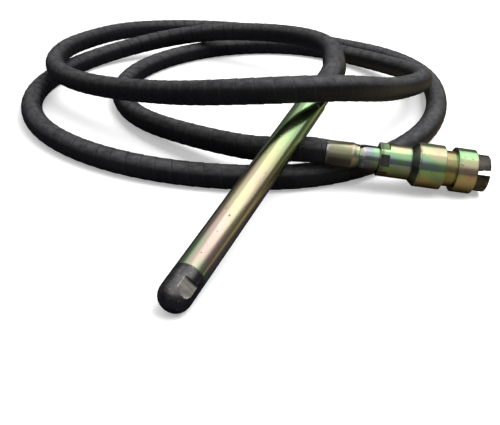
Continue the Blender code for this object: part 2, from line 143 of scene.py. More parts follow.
# Poker head. Heights are along the head from its tip.
NOSE_DOME = 0.021
DOME_POWER = 2.35
DOME_POINTS = 25
FLAT_ANGLE = radians(-41)
NOSE_FLAT_DEPTH = 0.0026
NOSE_FLAT = (0.0125, 0.0342)
NOSE_FLAT_CORNER = 0.006
NOSE_BORE = 0.009
TUBE_BORE = 0.0153
CONNECTOR_FLAT_DEPTH = 0.0018
CONNECTOR_FLAT_MARGIN = 0.004
SPIGOT_RADIUS = 0.015
SPIGOT_LENGTH = 0.018
SEAL_GROOVE = (0.0040, 0.0068)
SEAL_GROOVE_DEPTH = 0.0018

# Coupling. Heights are along the coupling from its hose end.
STEM_RADIUS = 0.0174
STEM_COLLAR = 0.0057
NUT_FLAT_DEPTH = 0.0017
NUT_FLAT_LENGTH = 0.013
NUT_FLAT_ANGLE = radians(-21)
SPIGOT_BORE = 0.012
BODY_SPIGOT = 0.0200
SLEEVE = (0.1304, 0.1664)
LATCH_RADIUS = 0.0254
LATCH_RELIEF = 0.0009
FLANGE_LOW = 0.1834
RECESS_RADIUS = 0.027
RECESS_FLOOR = 0.2009
BEARING_RADIUS = 0.0203
BEARING_FLOOR = 0.1340
DOG_BORE = 0.0085
DOG_SLOT = 0.007
DOG_SLOT_FLOOR = 0.2124
DOG_SLOT_ANGLE = radians(-27)
DOG_BEVEL = 0.0009
SCREW_SOCKET = 0.0015
SCREW_SOCKET_DEPTH = 0.0020

# Zinc plate: tints as (place on a scale of 0 to 1, linear colour).
TINTS_HEAD = (
    (0.13, (0.42, 0.60, 0.36)),
    (0.19, (0.76, 0.56, 0.50)),
    (0.30, (0.74, 0.68, 0.42)),
    (0.44, (0.72, 0.60, 0.42)),
    (0.60, (0.66, 0.66, 0.36)),
    (0.80, (0.44, 0.66, 0.34)),
)
TINTS_COUPLING = (
    (0.28, (0.74, 0.46, 0.44)),
    (0.37, (0.76, 0.64, 0.40)),
    (0.45, (0.60, 0.70, 0.38)),
    (0.54, (0.36, 0.66, 0.34)),
    (0.72, (0.42, 0.38, 0.62)),
)
# Colour bands on the coupling by height: stains, a thin dark band, and painted shade on the cone.
# Each row: lowest and highest height, soft edge, colour, strength, added roughness.
STAIN_AND_SHADE_BANDS = (
    (0.0020, 0.0440, 0.0020, (0.60, 0.50, 0.34), 0.65, 0.16),
    (0.0520, 0.0640, 0.0060, (0.30, 0.28, 0.52), 0.60, 0.0),
    (0.0757, 0.0780, 0.0008, (0.10, 0.09, 0.05), 0.80, 0.10),
    # Painted shade: this band darkens the cone.
    (0.1206, 0.1288, 0.0008, (0.09, 0.09, 0.08), 0.85, 0.10),
    (0.1668, 0.1830, 0.0010, (0.36, 0.25, 0.09), 0.65, 0.05),
    (0.2096, 0.2110, 0.0010, (0.30, 0.20, 0.08), 0.50, 0.0),
)
# Painted shade with a warm painted reflection of the ground, laid on the plate's underside.
UNDERSIDE_PAINTED_SHADE = (0.15, 0.095, 0.035)
FILM_YELLOW = (0.33, 0.27, 0.16)
# Painted shade on milled faces and crimp facets that don't face up.
MILLED_PAINTED_SHADE = (0.17, 0.155, 0.085)
MILLED_STRENGTH = 0.7
WORN_ZINC = (0.66, 0.63, 0.55)
RUST = (0.13, 0.055, 0.022)

# Steel: two brushed tones of a milled face, and the shade in its corner.
BRUSHED = ((0.40, 0.37, 0.33), (0.80, 0.75, 0.67))
CORNER_SHADE = (0.004, 0.004, 0.004)

# Hose rubber, each pair from dark to light.
WRAP_TONES = ((0.0026, 0.0027, 0.0038), (0.0062, 0.0063, 0.0072))
# Chalky grey on the hose's tops: real dust, and painted light on them.
CHALK_AND_LIGHT_TONES = ((0.030, 0.030, 0.0325), (0.098, 0.098, 0.102))
RIB_TONE = (0.011, 0.011, 0.012)
DUST_TONE = (0.050, 0.048, 0.046)
LIP_TONE = (0.045, 0.044, 0.042)
SEAM_TONE = (0.0008, 0.0008, 0.0010)
SEAL_TONES = ((0.011, 0.011, 0.012), (0.028, 0.027, 0.026))

# Stage. The sky is grey levels by height, and the mirrored floor is seen only in reflections: cool
# left of its first X, warm right of its second.
SKY = ((0.0, 0.10), (0.50, 0.16), (0.75, 0.80), (1.0, 1.0))
SKY_SEEN = (0.97, 0.97, 0.97)
FLOOR_HALF = 30.0
FLOOR_PALE = 0.87
FLOOR_LIFT = 0.35
FLOOR_MIRRORED = ((0.0, (0.035, 0.036, 0.050)), (0.12, (0.20, 0.17, 0.10)))
LIGHT_AIM = Vector((-0.08, 0.35, 0.0))
# Lights: the way from the aim, the size and the power.
SOFTBOX = (Vector((1.15, 0.50, 1.65)), (1.6, 2.4), 9.0)
KEY_LIGHT = (Vector((0.9, -0.5, 2.0)), (1.6, 1.6), 47.0)

# Camera at the photo's viewing angle.
CAMERA_PLACE = (-0.1182, -0.7692, 0.468)
CAMERA_PITCH = radians(30)
CAMERA_LENS = 49.3


# ---------------------------------------------------------------- places

def node_points(name):
    """Corner points of a CAD node, which lie at rest in the shared frame."""
    return np.array([vertex.co for vertex in frame["nodes"][name].data.vertices])


class End:
    """Local frame of one rigid end, taken from its spin joint and its first node."""

    def __init__(self, joint_name, first_node):
        joint = next(item for item in frame["joints"] if item["name"] == joint_name)
        self.axis = Vector(joint["axis"]).normalized()
        side = self.axis.cross(UP).normalized()
        down = self.axis.cross(side)
        centre = Vector(joint["pos_m"])
        heights = (node_points(first_node) - np.array(centre)) @ np.array(self.axis)
        self.origin = centre + self.axis * heights.min()
        self.matrix = Matrix((side, down, self.axis)).transposed().to_4x4()
        self.matrix.translation = self.origin

    def span(self, node):
        """Lowest and highest point of a CAD node along the axis, and its outer radius."""
        away = node_points(node) - np.array(self.origin)
        heights = away @ np.array(self.axis)
        across = away - np.outer(heights, np.array(self.axis))
        return heights.min(), heights.max(), np.linalg.norm(across, axis=1).max()

    def at(self, height):
        return self.origin + self.axis * height


head = End("rotor_spin", "nose_cap")
coupling = End("drive_spin", "coupling_ferrule")


# ---------------------------------------------------------------- camera

def make_camera():
    data = bpy.data.cameras.new("camera")
    data.lens = CAMERA_LENS
    data.sensor_width = 36.0
    data.clip_start = 0.02
    data.clip_end = 100.0
    camera = bpy.data.objects.new("camera", data)
    camera.location = CAMERA_PLACE
    camera.rotation_euler = (pi / 2 - CAMERA_PITCH, 0.0, 0.0)
    bpy.context.scene.collection.objects.link(camera)
    bpy.context.scene.camera = camera


# ---------------------------------------------------------------- materials

class Nodes:
    """Short calls that add nodes to a tree. An input is a number, a colour or another socket."""

    def __init__(self, tree):
        self.tree = tree

    def put(self, socket, value):
        if isinstance(value, bpy.types.NodeSocket):
            self.tree.links.new(value, socket)
        elif hasattr(value, "__len__") and len(value) == 3 and len(socket.default_value) == 4:
            socket.default_value = (*value, 1.0)
        else:
            socket.default_value = value

    def node(self, kind, inputs=(), **settings):
        node = self.tree.nodes.new(kind)
        for key, value in settings.items():
            setattr(node, key, value)
        for key, value in dict(inputs).items():
            self.put(node.inputs[key], value)
        return node

    def object_place(self):
        return self.node("ShaderNodeTexCoord").outputs["Object"]

    def light_path(self, output):
        return self.node("ShaderNodeLightPath").outputs[output]

    def part(self, vector, letter):
        return self.node("ShaderNodeSeparateXYZ", {0: vector}).outputs[letter]

    def upward(self):
        """How far the surface faces up, from -1 to 1."""
        return self.part(self.node("ShaderNodeNewGeometry").outputs["Normal"], "Z")

    def attribute(self, name, output="Fac"):
        return self.node("ShaderNodeAttribute", attribute_name=name).outputs[output]

    def scaled(self, vector, scale):
        node = self.node("ShaderNodeVectorMath", {0: vector, 1: scale}, operation="MULTIPLY")
        return node.outputs[0]

    def noise(self, vector, scale, detail, roughness, shift=0.0):
        vector = self.scaled(vector, scale)
        if shift:
            offset = (shift, 2 * shift, 3 * shift)
            vector = self.node("ShaderNodeVectorMath", {0: vector, 1: offset}).outputs[0]
        node = self.node("ShaderNodeTexNoise", {"Vector": vector, "Scale": 1.0,
                                                "Detail": detail, "Roughness": roughness})
        return node.outputs["Fac"]

    def ramp(self, value, *stops):
        """Colours or grey levels at positions of a value."""
        node = self.node("ShaderNodeValToRGB", {"Fac": value})
        ramp = node.color_ramp
        while len(ramp.elements) < len(stops):
            ramp.elements.new(1.0)
        for element, (position, colour) in zip(ramp.elements, stops):
            element.position = position
            if not hasattr(colour, "__len__"):
                colour = (colour, colour, colour)
            element.color = (*colour, 1.0)
        return node.outputs["Color"]

    def plus(self, first, second):
        return self.node("ShaderNodeMath", {0: first, 1: second}, operation="ADD").outputs[0]

    def times(self, first, second):
        return self.node("ShaderNodeMath", {0: first, 1: second}, operation="MULTIPLY").outputs[0]

    def blend(self, factor, first, second):
        node = self.node("ShaderNodeMix", data_type="RGBA")
        self.put(node.inputs[0], factor)
        self.put(node.inputs[6], first)
        self.put(node.inputs[7], second)
        return node.outputs[2]

    def remap(self, value, low, high):
        """A 0 to 1 value spread between two levels."""
        return self.plus(self.times(value, high - low), low)

    def bump(self, height, distance, normal=None):
        inputs = {"Height": height, "Distance": distance}
        if normal is not None:
            inputs["Normal"] = normal
        return self.node("ShaderNodeBump", inputs).outputs["Normal"]


class Finish(Nodes):
    """A material made of nodes. Plain numbers go on the shader's own sockets."""

    def __init__(self, name, **constants):
        self.material = bpy.data.materials.new(name)
        self.material.use_nodes = True
        super().__init__(self.material.node_tree)
        self.shader = self.tree.nodes["Principled BSDF"]
        for socket, value in constants.items():
            self.shader.inputs[socket.replace("_", " ")].default_value = value

    def surface(self, colour, roughness, normal):
        self.put(self.shader.inputs["Base Color"], colour)
        self.put(self.shader.inputs["Roughness"], roughness)
        self.put(self.shader.inputs["Normal"], normal)
        return self.material


def plated_finish(name, shift, patch, tints, lathe, bands=0.0, stain_and_shade_bands=()):
    """Yellow-passivated zinc plate: green, yellow, pink and blue tints over polished steel.

    The tints follow patches of noise, or also the height along the part where bands is above 0.
    The underside and the milled faces that don't face up get painted shade, and height bands add
    stains and painted shade.
    """
    finish = Finish(name, Metallic=1.0)
    place = finish.object_place()
    height = finish.part(place, "Z")
    patches = finish.noise(place, patch, 2.0, 0.5, shift)
    fine = finish.noise(place, (90.0, 90.0, 30.0), 3.0, 0.6, shift + 3.1)
    value = finish.plus(patches, finish.remap(fine, -0.05, 0.05))
    if bands:
        value = finish.times(finish.plus(value, -0.5), 0.55)
        value = finish.plus(value, finish.times(height, bands))
    colour = finish.ramp(value, *tints)
    # Painted shade: the side whose local Y points down is blended towards dark brown, a painted
    # shade with a warm painted reflection of the ground.
    around = finish.node("ShaderNodeVectorMath", {0: finish.scaled(place, (1.0, 1.0, 0.0))},
                         operation="NORMALIZE").outputs[0]
    painted_underside = finish.plus(finish.part(around, "Y"), finish.remap(patches, -0.30, 0.30))
    painted_underside = finish.ramp(finish.plus(painted_underside, 0.5), (0.42, 0.0), (0.95, 1.0))
    colour = finish.blend(painted_underside, colour, finish.blend(0.78, colour, UNDERSIDE_PAINTED_SHADE))
    film = finish.noise(place, (35.0, 35.0, 9.0), 4.0, 0.65, shift + 7.7)
    film = finish.ramp(film, (0.42, 0.0), (0.72, 1.0))
    colour = finish.blend(finish.times(film, 0.30), colour, FILM_YELLOW)
    level = finish.plus(height, finish.remap(fine, -0.002, 0.002))
    rough = finish.remap(film, 0.15, 0.27)
    # Stain bands, and painted shade on the cone.
    for low, high, soft, tint, strength, dulled in stain_and_shade_bands:
        mask = finish.ramp(level, (low - soft, 0.0), (low, 1.0), (high, 1.0), (high + soft, 0.0))
        colour = finish.blend(finish.times(mask, strength), colour, tint)
        rough = finish.plus(rough, finish.times(mask, dulled))
    # Painted shade: milled faces turn dark olive unless they face up.
    painted_shade_unless_up = finish.ramp(finish.upward(), (0.62, 1.0), (0.88, 0.15))
    milled_face = finish.times(finish.attribute("milled"), MILLED_STRENGTH)
    colour = finish.blend(finish.times(milled_face, painted_shade_unless_up), colour, MILLED_PAINTED_SHADE)
    scuff = finish.ramp(finish.noise(place, (260.0, 260.0, 260.0), 3.0, 0.6, 1.7),
                        (0.40, 0.0), (0.58, 1.0))
    worn = finish.times(finish.attribute("wear"), scuff)
    colour = finish.blend(worn, colour, WORN_ZINC)
    spots = finish.ramp(finish.noise(place, (150.0, 150.0, 95.0), 3.0, 0.6, shift + 5.3),
                        (0.675, 0.0), (0.72, 1.0))
    colour = finish.blend(finish.times(spots, 0.85), colour, RUST)
    rough = finish.plus(rough, finish.times(spots, 0.35))
    turned = finish.noise(place, (25.0, 25.0, 2300.0), 2.0, 0.5)
    uneven = finish.noise(place, (28.0, 28.0, 14.0), 1.0, 0.5, 2.4)
    normal = finish.bump(turned, lathe)
    normal = finish.bump(uneven, 0.00045, normal)
    normal = finish.bump(spots, 0.00008, normal)
    return finish.surface(colour, rough, normal)


def steel_finish(name, dark, light, edge, rough, grain, pits=0.00004, wall=0.0):
    """Bare or oil-blackened steel: cloudy colour, grain, small pits and bright worn edges.

    A milled face is shaded from the height of its wall on, where wall is above 0.
    """
    finish = Finish(name, Metallic=1.0)
    place = finish.object_place()
    cloud = finish.noise(place, (75.0, 75.0, 55.0), 4.0, 0.6)
    colour = finish.ramp(cloud, (0.34, dark), (0.66, light))
    speck = finish.noise(place, (420.0, 420.0, 420.0), 2.0, 0.6, 4.2)
    specks = finish.ramp(speck, (0.62, 0.0), (0.72, 1.0))
    colour = finish.blend(finish.times(specks, 0.5), colour, edge)
    scuff = finish.ramp(finish.noise(place, (240.0, 240.0, 240.0), 3.0, 0.6, 1.7),
                        (0.32, 0.0), (0.52, 1.0))
    wear = finish.times(finish.attribute("wear"), scuff)
    colour = finish.blend(wear, colour, edge)
    milled_face = finish.attribute("milled")
    brushed = finish.ramp(finish.noise(place, (60.0, 60.0, 240.0), 4.0, 0.65, 8.3),
                          (0.35, BRUSHED[0]), (0.65, BRUSHED[1]))
    colour = finish.blend(finish.times(milled_face, 0.8), colour, brushed)
    if wall:
        shade = finish.ramp(finish.part(place, "Z"), (wall - 0.0006, 0.0), (wall - 0.0002, 1.0))
        shade = finish.times(shade, finish.ramp(milled_face, (0.0, 0.0), (0.3, 1.0)))
        colour = finish.blend(shade, colour, CORNER_SHADE)
    roughness = finish.remap(cloud, rough - 0.08, rough + 0.10)
    roughness = finish.plus(roughness, finish.times(milled_face, 0.22))
    lines = finish.noise(place, grain, 2.0, 0.5)
    normal = finish.bump(lines, 0.00002)
    normal = finish.bump(speck, pits, normal)
    return finish.surface(colour, roughness, normal)


def rubber_finish(name):
    """Plain moulded rubber of the seals."""
    finish = Finish(name, Metallic=0.0)
    place = finish.object_place()
    cloud = finish.noise(place, (130.0, 130.0, 130.0), 3.0, 0.6)
    colour = finish.ramp(cloud, (0.35, SEAL_TONES[0]), (0.7, SEAL_TONES[1]))
    grain = finish.noise(place, (1300.0, 1300.0, 1300.0), 2.0, 0.5)
    return finish.surface(colour, finish.remap(cloud, 0.5, 0.7), finish.bump(grain, 0.00003))


def hose_finish(name):
    """Cloth-wrapped black rubber: fine ribs across the hose, with the wrap's laps and dust, and a
    chalky grey on the tops that is real dust and painted light.
    """
    finish = Finish(name, Metallic=0.0, Specular_IOR_Level=0.26)
    rod = finish.attribute("rod", "Vector")
    seam = finish.attribute("seam")
    cloud = finish.noise(rod, (26.0, 26.0, 9.0), 4.0, 0.6)
    colour = finish.ramp(cloud, (0.30, WRAP_TONES[0]), (0.72, WRAP_TONES[1]))
    ribs = finish.noise(rod, (45.0, 45.0, 560.0), 2.0, 0.55)
    rib_tint = finish.ramp(ribs, (0.38, 0.0), (0.62, 1.0))
    colour = finish.blend(finish.times(rib_tint, 0.30), colour, RIB_TONE)
    dust = finish.noise(rod, (210.0, 210.0, 210.0), 4.0, 0.7, 6.1)
    dust = finish.ramp(dust, (0.58, 0.0), (0.78, 1.0))
    # Real dust and painted light: the hose's tops turn a chalky grey.
    dust_and_light_on_top = finish.ramp(finish.upward(), (0.42, 0.0), (0.97, 1.0))
    chalk_and_light = finish.ramp(finish.noise(rod, (120.0, 120.0, 60.0), 4.0, 0.7, 3.3),
                        (0.35, CHALK_AND_LIGHT_TONES[0]), (0.65, CHALK_AND_LIGHT_TONES[1]))
    colour = finish.blend(finish.times(dust_and_light_on_top, 0.85), colour, chalk_and_light)
    colour = finish.blend(finish.times(dust, 0.30), colour, DUST_TONE)
    lip = finish.times(finish.attribute("lip"), finish.remap(dust, 0.25, 0.75))
    # The lip shows more on the tops, with the same painted light.
    lip = finish.times(lip, finish.remap(dust_and_light_on_top, 0.12, 0.80))
    colour = finish.blend(lip, colour, LIP_TONE)
    faint = finish.noise(rod, (40.0, 40.0, 16.0), 2.0, 0.5, 9.4)
    faint = finish.ramp(faint, (0.35, 0.55), (0.55, 1.0))
    colour = finish.blend(finish.times(seam, faint), colour, SEAM_TONE)
    rough = finish.remap(cloud, 0.36, 0.50)
    rough = finish.plus(rough, finish.times(dust, 0.12))
    rough = finish.plus(rough, finish.times(seam, 0.40))
    weave = finish.noise(rod, (900.0, 900.0, 900.0), 2.0, 0.5, 2.2)
    normal = finish.bump(ribs, 0.00022)
    normal = finish.bump(weave, 0.00005, normal)
    return finish.surface(colour, rough, normal)


# ---------------------------------------------------------------- meshes

def build_mesh(name, points, faces, attributes):
    """Smooth mesh with named values, one number or one vector for each point."""
    mesh = bpy.data.meshes.new(name)
    mesh.from_pydata(points.tolist(), [], faces)
    mesh.polygons.foreach_set("use_smooth", np.ones(len(faces), bool))
    for key, values in attributes.items():
        if values.ndim == 1:
            mesh.attributes.new(key, "FLOAT", "POINT").data.foreach_set("value", values)
        else:
            data = mesh.attributes.new(key, "FLOAT_VECTOR", "POINT").data
            data.foreach_set("vector", values.ravel())
    mesh.validate()
    mesh.update()
    return mesh


def new_piece(name, mesh):
    """Object in the scene; what it rides on is set later."""
    piece = bpy.data.objects.new(name, mesh)
    bpy.context.scene.collection.objects.link(piece)
    return piece


def ring_faces(rows, around, closed=False):
    """Four-sided faces between rings of points; closed joins the last ring to the first."""
    faces = []
    for row in range(rows if closed else rows - 1):
        low, high = row * around, (row + 1) % rows * around
        for step in range(around):
            after = (step + 1) % around
            faces.append((low + step, low + after, high + after, high + step))
    return faces


def rounded(outline, closed):
    """Rows of radius, height and wear for an outline whose corners are rounded by their fillets."""
    points = [np.array(item[:2]) for item in outline]
    fillets = [item[2] if len(item) > 2 else 0.0 for item in outline]
    count = len(points)
    rows = []
    for number, (here, fillet) in enumerate(zip(points, fillets)):
        at_end = not closed and number in (0, count - 1)
        if fillet == 0.0 or at_end:
            rows.append((*here, 0.0))
            continue
        back = points[number - 1] - here
        ahead = points[(number + 1) % count] - here
        size = min(fillet, FILLET_SHARE * np.linalg.norm(back),
                   FILLET_SHARE * np.linalg.norm(ahead))
        back = back / np.linalg.norm(back) * size
        ahead = ahead / np.linalg.norm(ahead) * size
        outer = -back[0] * ahead[1] + back[1] * ahead[0] > 0.0
        for part in np.linspace(0.0, 1.0, FILLET_POINTS):
            place = here + back * (1 - part) ** 2 + ahead * part ** 2
            worn = 1.0 if outer and 0.0 < part < 1.0 else 0.0
            rows.append((*place, worn))
    return rows


def soften(outline, spacing):
    """Round an outline's corners and spread points along its sides.

    The outline holds (radius, height, fillet) and runs up the outside, then down the bore. It is
    closed unless it starts on the axis. The result's rows hold radius, height and wear, which is 1
    on rounded outer edges.
    """
    closed = outline[0][0] > 0.0
    rows = rounded(outline, closed)
    spread = []
    for number in range(len(rows) if closed else len(rows) - 1):
        start = np.array(rows[number])
        end = np.array(rows[(number + 1) % len(rows)])
        length = np.linalg.norm((end - start)[:2])
        shares = [0.0]
        if length > SHORT_SIDE:
            margin = SIDE_MARGIN / length
            inner = max(int(length * (1 - 2 * margin) / spacing), 1)
            shares += [margin, *np.linspace(margin, 1 - margin, inner + 1)[1:-1], 1 - margin]
        for share in shares:
            place = start + (end - start) * share
            spread.append((place[0], place[1], place[2] if share == 0.0 else 0.0))
    if not closed:
        spread.append(rows[-1])
    return np.array(spread), closed


def turned(name, outline, end, shape=None, spacing=0.02, around=AROUND):
    """Turn an outline about an end's axis; shape(radius, height, angle) may change the radius.

    The mesh says where it is worn, on rounded edges and the rims of cuts, and where it is milled.
    """
    rings, closed = soften(outline, spacing)
    angles = np.linspace(0.0, 2 * pi, around, endpoint=False)
    radius = np.repeat(rings[:, 0][:, None], around, axis=1)
    height = np.repeat(rings[:, 1][:, None], around, axis=1)
    cut = np.zeros_like(radius)
    if shape is not None:
        shaped = np.where(radius > 0.0, shape(radius, height, angles[None, :]), radius)
        cut = np.clip((radius - shaped) / CUT_FADE, 0.0, 1.0)
        radius = shaped
    inside = cut > CUT_SEEN
    rim = inside & ~(np.roll(inside, 1, axis=1) & np.roll(inside, -1, axis=1))
    points = np.stack((radius * np.cos(angles), radius * np.sin(angles), height), axis=2)
    first = 0 if closed else 1
    last = len(rings) if closed else len(rings) - 1
    grid = points[first:last].reshape(-1, 3)
    wear = np.maximum(np.repeat(rings[first:last, 2], around), rim[first:last].ravel())
    cut = cut[first:last].ravel()
    rows = last - first
    faces = ring_faces(rows, around, closed)
    if not closed:
        grid = np.vstack((grid, points[0, :1], points[-1, :1]))
        wear = np.append(wear, (0.0, 0.0))
        cut = np.append(cut, (0.0, 0.0))
        bottom, top = len(grid) - 2, len(grid) - 1
        edge = (rows - 1) * around
        for step in range(around):
            after = (step + 1) % around
            faces.append((bottom, after, step))
            faces.append((edge + step, edge + after, top))
    piece = new_piece(name, build_mesh(name, grid, faces, {"wear": wear, "milled": cut}))
    piece.matrix_world = end.matrix
    return piece


def smooth_step(value):
    """Rise from 0 to 1 with level ends."""
    value = np.clip(value, 0.0, 1.0)
    return value * value * (3 - 2 * value)


def milled(*flats, edge=0.00045):
    """Shape rule that cuts flats; each is (angle, distance from axis, low, high, low corner)."""
    def shape(radius, height, angle):
        for turn, distance, low, high, corner in flats:
            facing = np.cos(angle - turn)
            limit = distance / np.maximum(facing, 0.2)
            aside = np.abs(np.sin(angle - turn)) * radius / distance
            start = low + corner * np.clip(aside / 0.5, 0.0, 1.0) ** 4
            inside = smooth_step((height - start) / edge) * smooth_step((high - height) / edge)
            cut = np.where(facing > 0.2, np.maximum(radius - limit, 0.0), 0.0)
            radius = radius - cut * inside
        return radius
    return shape


def finish_piece(piece, material, body, slot, *nodes):
    """Give a piece its material and body, and hide the CAD nodes that it stands for; slot is not
    used.
    """
    piece.data.materials.append(material)
    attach(piece, body)
    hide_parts(*nodes)


# ---------------------------------------------------------------- hose

def smooth_curve(points, start_way, end_way, count):
    """Evenly spread points on the cubic spline through the given ones, with set end directions."""
    points = np.array(points)
    spans = np.linalg.norm(np.diff(points, axis=0), axis=1)
    knots = np.concatenate(([0.0], np.cumsum(spans)))
    slopes = np.diff(points, axis=0) / spans[:, None]
    size = len(points)
    matrix = np.zeros((size, size))
    right = np.zeros((size, 3))
    matrix[0, :2] = 2 * spans[0], spans[0]
    right[0] = 6 * (slopes[0] - np.array(start_way))
    matrix[-1, -2:] = spans[-1], 2 * spans[-1]
    right[-1] = 6 * (np.array(end_way) - slopes[-1])
    for row in range(1, size - 1):
        matrix[row, row - 1:row + 2] = spans[row - 1], 2 * (spans[row - 1] + spans[row]), spans[row]
        right[row] = 6 * (slopes[row] - slopes[row - 1])
    bends = np.linalg.solve(matrix, right)
    distance = np.linspace(0.0, knots[-1], count)
    span = np.clip(np.searchsorted(knots, distance, side="right") - 1, 0, size - 2)
    before = (distance - knots[span])[:, None]
    after = (knots[span + 1] - distance)[:, None]
    width = spans[span][:, None]
    curved = (bends[span] * after ** 3 + bends[span + 1] * before ** 3) / (6 * width)
    start = (points[span] / width - bends[span] * width / 6) * after
    end = (points[span + 1] / width - bends[span + 1] * width / 6) * before
    return curved + start + end


def hose_line():
    """Centre line from the head's ferrule to the coupling's, one point each HOSE_STEP."""
    first = head.at(head.span("head_ferrule")[1] + GAP)
    last = coupling.at(-GAP)
    leave = first + head.axis * HOSE_STRAIGHT
    arrive = last - coupling.axis * HOSE_STRAIGHT
    curve = smooth_curve([leave, *HOSE_ROUTE, arrive], head.axis, coupling.axis, CURVE_POINTS)
    line = np.vstack((np.array(first), curve, np.array(last)))
    line[:, 2] = np.maximum(line[:, 2], FLOOR_LINE)
    lengths = np.concatenate(([0.0], np.cumsum(np.linalg.norm(np.diff(line, axis=0), axis=1))))
    along = np.linspace(0.0, lengths[-1], int(lengths[-1] / HOSE_STEP) + 1)
    line = np.stack([np.interp(along, lengths, line[:, axis]) for axis in range(3)], axis=1)
    return line, along


def waves(along, rows):
    """Sum of sine waves along the hose."""
    return sum(size * np.sin(along * rate + start) for size, rate, start in rows)


def carried_sides(line):
    """Two directions square to the line at each point, carried along it without twisting."""
    ways = np.gradient(line, axis=0)
    ways /= np.linalg.norm(ways, axis=1)[:, None]
    side = np.zeros_like(line)
    current = np.array(UP) - ways[0] * ways[0, 2]
    for number, way in enumerate(ways):
        current = current - way * (current @ way)
        current /= np.linalg.norm(current)
        side[number] = current
    return side, np.cross(ways, side)


def wrap_marks(along, angles):
    """Radius of the wrapped hose at each point, with how much seam and raised lip lies there."""
    turn = (along + waves(along, LAP_DRIFT)) / LAP_PITCH
    turn = turn[:, None] - angles[None, :] / (2 * pi)
    share = turn - np.floor(turn)
    lap = np.where(share < 1 - LAP_EDGE, share / (1 - LAP_EDGE), (1 - share) / LAP_EDGE)
    seam = np.clip(1.0 - np.abs(share - (1 - 0.3 * LAP_EDGE)) / (0.7 * LAP_EDGE), 0.0, 1.0)
    lip = np.clip(1.0 - np.abs(share - (1 - 1.6 * LAP_EDGE)) / LAP_EDGE, 0.0, 1.0)
    ends = smooth_step(along / HOSE_END_FADE) * smooth_step((along[-1] - along) / HOSE_END_FADE)
    depth = SEAM_MEAN + waves(along, SEAM_WAVES)
    radius = HOSE_RADIUS - LAP_HEIGHT / 2 + LAP_HEIGHT * (lap - 0.2) * ends[:, None]
    radius = radius - SEAM_DEPTH * seam * (depth * ends)[:, None]
    return radius, seam * (0.3 + 0.7 * depth)[:, None], lip


def make_hose(material):
    """The whole hose as one tube along its centre line."""
    line, along = hose_line()
    side, other = carried_sides(line)
    angles = np.linspace(0.0, 2 * pi, HOSE_AROUND, endpoint=False)
    radius, seam, lip = wrap_marks(along, angles)
    ring = np.cos(angles)[None, :, None] * side[:, None, :]
    ring = ring + np.sin(angles)[None, :, None] * other[:, None, :]
    points = line[:, None, :] + ring * radius[:, :, None]
    rod = np.stack(np.broadcast_arrays(HOSE_RADIUS * np.cos(angles)[None, :],
                                       HOSE_RADIUS * np.sin(angles)[None, :],
                                       along[:, None]), axis=2)
    faces = ring_faces(len(line), HOSE_AROUND)
    faces.append(tuple(reversed(range(HOSE_AROUND))))
    faces.append(tuple(range((len(line) - 1) * HOSE_AROUND, len(line) * HOSE_AROUND)))
    mesh = build_mesh("flexible_hose", points.reshape(-1, 3), faces,
                      {"rod": rod.reshape(-1, 3), "seam": seam.ravel(), "lip": lip.ravel()})
    hose = new_piece("flexible_hose", mesh)
    finish_piece(hose, material, "shell", "hose_rubber", "hose")


# ---------------------------------------------------------------- poker head

def spigot(bore, face, way):
    """Spigot outline with a seal groove, from the shoulder face to its end."""
    floor = SPIGOT_RADIUS - SEAL_GROOVE_DEPTH
    start, end = SEAL_GROOVE
    steps = ((SPIGOT_RADIUS, 0.0), (SPIGOT_RADIUS, start), (floor, start), (floor, end),
             (SPIGOT_RADIUS, end), (SPIGOT_RADIUS, SPIGOT_LENGTH, 0.0008),
             (bore, SPIGOT_LENGTH))
    return [(step[0], face + way * step[1], *step[2:]) for step in steps]


def crimped(low, high):
    """Shape rule for a swaged ferrule: the jaws leave it slightly six-sided."""
    def shape(radius, height, angle):
        inside = smooth_step((height - low) / CRIMP_FADE)
        inside = inside * smooth_step((high - height) / CRIMP_FADE)
        flat = 0.5 - 0.5 * np.cos((angle + CRIMP_TURN) * CRIMP_JAWS)
        outer = smooth_step((radius - CRIMP_INNER) / 0.001)
        return radius - CRIMP_DEPTH * flat * inside * outer
    return shape


def two_flats(distance, low, high, corner=0.0):
    """Shape rule for a pair of spanner flats on opposite sides of the head."""
    return milled((FLAT_ANGLE, distance, low, high, corner),
                  (FLAT_ANGLE + pi, distance, low, high, corner))


def make_nose(dark):
    """Domed nose cap with two spanner flats and its spigot."""
    radius = head.span("nose_cap")[2]
    shoulder = head.span("head_tube")[0] - GAP
    dome = []
    for step in np.linspace(0.0, pi / 2, DOME_POINTS):
        across = radius * sin(step) ** (2 / DOME_POWER)
        up = NOSE_DOME * (1 - max(cos(step), 0.0) ** (2 / DOME_POWER))
        dome.append((across, up))
    nose = turned("poker_nose",
                  [*dome, (radius, shoulder, 0.0005), *spigot(NOSE_BORE, shoulder, 1),
                   (NOSE_BORE, shoulder), (0.0, shoulder)],
                  head, two_flats(radius - NOSE_FLAT_DEPTH, *NOSE_FLAT, NOSE_FLAT_CORNER),
                  spacing=0.0005)
    finish_piece(nose, dark, "shell", "dark_steel", "nose_cap")


